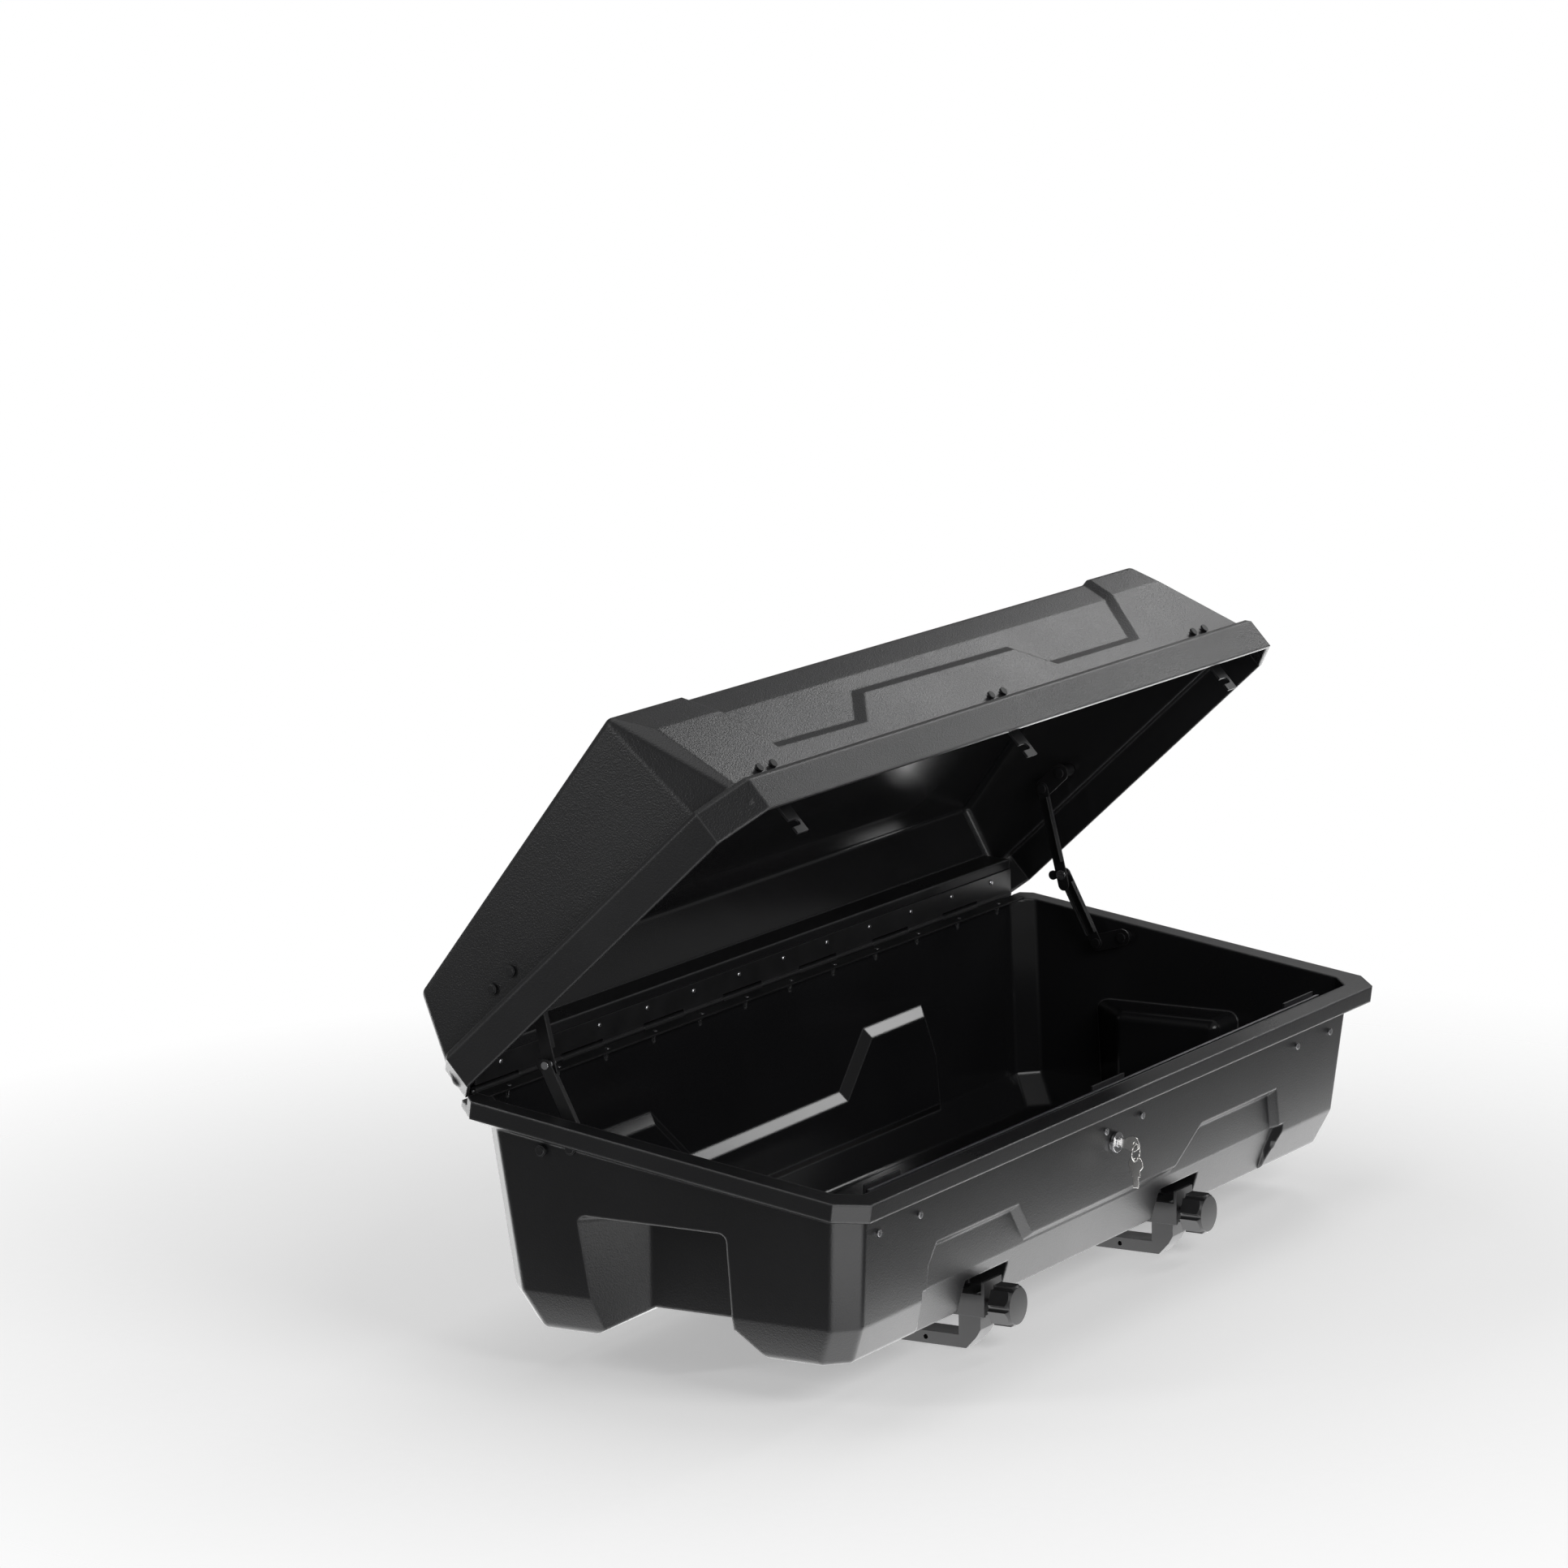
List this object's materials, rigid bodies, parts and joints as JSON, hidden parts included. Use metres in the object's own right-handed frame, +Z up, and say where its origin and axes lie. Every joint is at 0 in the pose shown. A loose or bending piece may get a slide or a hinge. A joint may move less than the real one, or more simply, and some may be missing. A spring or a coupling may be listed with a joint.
{
  "type": "hitch cargo carrier",
  "caption": "Lockable hitch-mounted cargo box with sloped rim, rear-hinged lid on folding stays, key-driven slide latch and screw clamps that grip a carrier rail below",
  "frame": {"origin": "middle of the box footprint in X and Y, Z=0 on the underside of the box feet, which is the middle of the mouth of the tunnel between the feet", "axes": "+X along the box to the right seen from the lock side, +Y toward the hinge side, which faces the vehicle, +Z up"},
  "size_m": [1.4, 0.6257, 0.8053],
  "materials": {
    "tub_plastic": "thermoformed black, satin grained outside and glossy inside",
    "lid_plastic": "thermoformed black, haircell satin grain",
    "hinge_black": "black coated steel",
    "zinc_steel": "bright zinc plate",
    "black_steel": "black powder coat",
    "plain_steel": "plated sheet steel",
    "lock_chrome": "polished plate",
    "key_nickel": "nickel plate",
    "clamp_black": "black powder coat",
    "knob_plastic": "moulded black nylon",
    "pad_rubber": "matt black rubber"
  },
  "bodies": {
    "tub": {"tub_shell": "tub_plastic", "hinge_tub_leaf": "hinge_black", "hinge_pin": "zinc_steel", "hinge_tub_rivets": "zinc_steel", "stay_base_left": "black_steel", "stay_base_right": "black_steel", "stay_tub_bolts": "black_steel", "latch_catch_left": "black_steel", "latch_catch_centre": "black_steel", "latch_catch_right": "black_steel", "latch_catch_rivets": "zinc_steel", "lock_housing": "lock_chrome", "lock_nut": "lock_chrome", "clamp_body_left": "clamp_black", "clamp_body_right": "clamp_black", "rail_pad_left": "pad_rubber", "rail_pad_right": "pad_rubber", "clamp_bolts": "zinc_steel", "clamp_nuts": "zinc_steel", "floor_plates": "plain_steel"},
    "lid": {"lid_shell": "lid_plastic", "hinge_lid_leaf": "hinge_black", "hinge_lid_rivets": "zinc_steel", "stay_lid_bracket_left": "black_steel", "stay_lid_bracket_right": "black_steel", "stay_lid_bolts": "black_steel", "latch_hook_left": "black_steel", "latch_hook_centre": "black_steel", "latch_hook_right": "black_steel", "latch_hook_bolts": "black_steel"},
    "lower_link_left": {"stay_lower_link_left": "black_steel", "stay_elbow_rivet_left": "zinc_steel"},
    "lower_link_right": {"stay_lower_link_right": "black_steel", "stay_elbow_rivet_right": "zinc_steel"},
    "upper_link_left": {"stay_upper_link_left": "black_steel", "stay_elbow_head_left": "zinc_steel"},
    "upper_link_right": {"stay_upper_link_right": "black_steel", "stay_elbow_head_right": "zinc_steel"},
    "lock_plug_body": {"lock_plug": "lock_chrome", "lock_key": "key_nickel"},
    "hanging_keys": {"key_ring": "key_nickel", "spare_key": "key_nickel"},
    "latch_slide_body": {"latch_bar": "plain_steel"},
    "screw_left": {"clamp_screw_left": "zinc_steel", "clamp_knob_left": "knob_plastic"},
    "screw_right": {"clamp_screw_right": "zinc_steel", "clamp_knob_right": "knob_plastic"},
    "jaw_left": {"clamp_jaw_left": "clamp_black", "clamp_barrel_nut_left": "zinc_steel"},
    "jaw_right": {"clamp_jaw_right": "clamp_black", "clamp_barrel_nut_right": "zinc_steel"}
  },
  "joints": [
    {"name": "lid_hinge", "type": "hinge", "parent": "tub", "child": "lid", "pos_m": [0, 0.26666, 0.2886], "axis": [-1, 0, 0], "range_deg": [-50.4, 0]},
    {"name": "stay_lower_left", "type": "hinge", "parent": "tub", "child": "lower_link_left", "pos_m": [-0.652, 0.125, 0.235], "axis": [1, 0, 0], "range_deg": [-33.05, 0]},
    {"name": "stay_upper_left", "type": "hinge", "parent": "lid", "child": "upper_link_left", "pos_m": [-0.642, 0.19975, 0.44334], "axis": [-1, 0, 0], "range_deg": [-28.96, 0]},
    {"name": "stay_lower_right", "type": "hinge", "parent": "tub", "child": "lower_link_right", "pos_m": [0.652, 0.125, 0.235], "axis": [1, 0, 0], "range_deg": [-33.05, 0]},
    {"name": "stay_upper_right", "type": "hinge", "parent": "lid", "child": "upper_link_right", "pos_m": [0.642, 0.19975, 0.44334], "axis": [-1, 0, 0], "range_deg": [-28.96, 0]},
    {"name": "lock_turn", "type": "hinge", "parent": "tub", "child": "lock_plug_body", "pos_m": [-0.012, -0.24938, 0.141], "axis": [0, 1, 0], "range_deg": [0, 90]},
    {"name": "latch_slide", "type": "slide", "parent": "tub", "child": "latch_slide_body", "axis": [1, 0, 0], "range_m": [0, 0.014]},
    {"name": "key_swing", "type": "hinge", "parent": "lock_plug_body", "child": "hanging_keys", "pos_m": [-0.012, -0.27937, 0.141], "axis": [1, 0, 0], "range_deg": [-25, 10]},
    {"name": "clamp_screw_left_turn", "type": "hinge", "parent": "tub", "child": "screw_left", "pos_m": [-0.3, -0.235, 0.002], "axis": [0, 1, 0], "range_deg": [0, 2160]},
    {"name": "clamp_jaw_left_slide", "type": "slide", "parent": "tub", "child": "jaw_left", "axis": [0, 1, 0], "range_m": [0, 0.012]},
    {"name": "clamp_screw_right_turn", "type": "hinge", "parent": "tub", "child": "screw_right", "pos_m": [0.207, -0.235, 0.002], "axis": [0, 1, 0], "range_deg": [0, 2160]},
    {"name": "clamp_jaw_right_slide", "type": "slide", "parent": "tub", "child": "jaw_right", "axis": [0, 1, 0], "range_m": [0, 0.012]}
  ],
  "couplings": [
    {"joint": "stay_lower_left", "follows": "lid_hinge", "ratio": 0.64981},
    {"joint": "stay_upper_left", "follows": "lid_hinge", "ratio": 0.56865},
    {"joint": "clamp_screw_left_turn", "follows": "clamp_jaw_left_slide", "rad_per_m": 3141.5},
    {"joint": "stay_lower_right", "follows": "lid_hinge", "ratio": 0.64981},
    {"joint": "stay_upper_right", "follows": "lid_hinge", "ratio": 0.56865},
    {"joint": "clamp_screw_right_turn", "follows": "clamp_jaw_right_slide", "rad_per_m": 3141.5},
    {"joint": "lock_turn", "follows": "latch_slide", "rad_per_m": 112.19}
  ]
}
